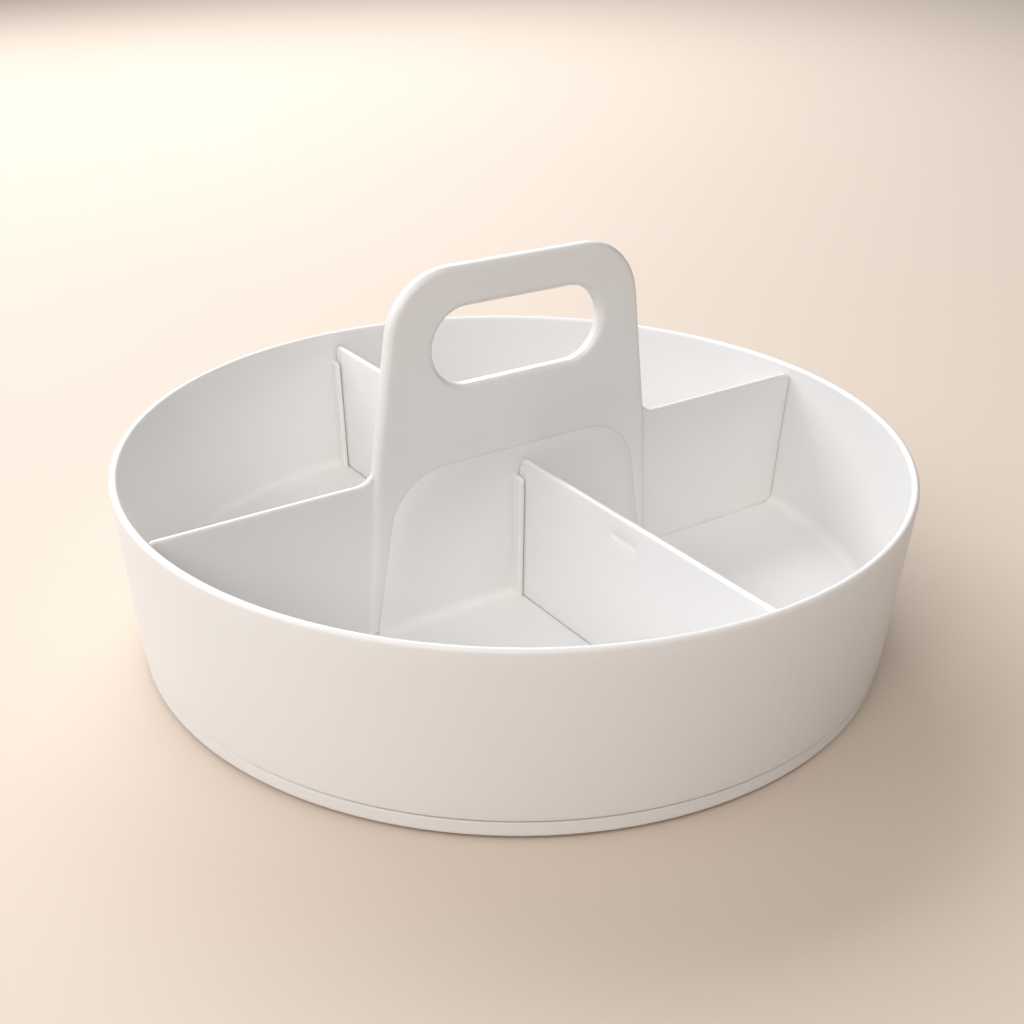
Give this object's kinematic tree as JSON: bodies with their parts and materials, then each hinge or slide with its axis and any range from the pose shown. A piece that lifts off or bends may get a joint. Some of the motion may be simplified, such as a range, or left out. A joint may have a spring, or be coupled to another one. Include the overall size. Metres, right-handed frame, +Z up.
{
  "type": "lazy susan turntable",
  "caption": "Round white turntable caddy: a drafted tub on a ball-bearing base, with a central carrying handle and lift-out dividers that make compartments.",
  "frame": {"origin": "centre of the turntable's axis in the plane that the rubber feet stand on", "axes": "+Z up along the turning axis, X along the handle panel, front divider along -Y and rear divider along +Y"},
  "size_m": [0.3, 0.3, 0.145],
  "materials": {
    "tub_plastic": "satin moulded white",
    "panel_plastic": "satin moulded white",
    "divider_plastic": "satin moulded white",
    "base_plastic": "satin moulded white",
    "bearing_plastic": "natural acetal",
    "screw_steel": "zinc plated",
    "washer_steel": "zinc plated",
    "ball_steel": "polished",
    "foot_rubber": "matt pale grey"
  },
  "bodies": {
    "turntable_base": {"base_disc": "base_plastic", "base_cap": "base_plastic", "centre_bush": "bearing_plastic", "foot_pad_1": "foot_rubber", "foot_pad_2": "foot_rubber", "foot_pad_3": "foot_rubber", "foot_pad_4": "foot_rubber", "foot_pad_5": "foot_rubber", "foot_pad_6": "foot_rubber"},
    "caddy": {"tub": "tub_plastic", "handle_panel": "panel_plastic", "panel_screws": "screw_steel", "centre_screw": "screw_steel", "retaining_washer": "washer_steel"},
    "ball_bearing": {"ball_cage": "bearing_plastic", "bearing_balls": "ball_steel"},
    "front_partition": {"front_divider": "divider_plastic"},
    "rear_partition": {"rear_divider": "divider_plastic"}
  },
  "joints": [
    {"name": "tub_spin", "type": "hinge", "parent": "turntable_base", "child": "caddy", "pos_m": [0, 0, 0], "axis": [0, 0, 1], "continuous": true},
    {"name": "cage_spin", "type": "hinge", "parent": "turntable_base", "child": "ball_bearing", "pos_m": [0, 0, 0], "axis": [0, 0, 1], "continuous": true},
    {"name": "front_divider_lift", "type": "slide", "parent": "caddy", "child": "front_partition", "axis": [0, 0, 1], "range_m": [0, 0.07]},
    {"name": "rear_divider_lift", "type": "slide", "parent": "caddy", "child": "rear_partition", "axis": [0, 0, 1], "range_m": [0, 0.07]}
  ],
  "couplings": [
    {"joint": "cage_spin", "follows": "tub_spin", "ratio": 0.5}
  ]
}
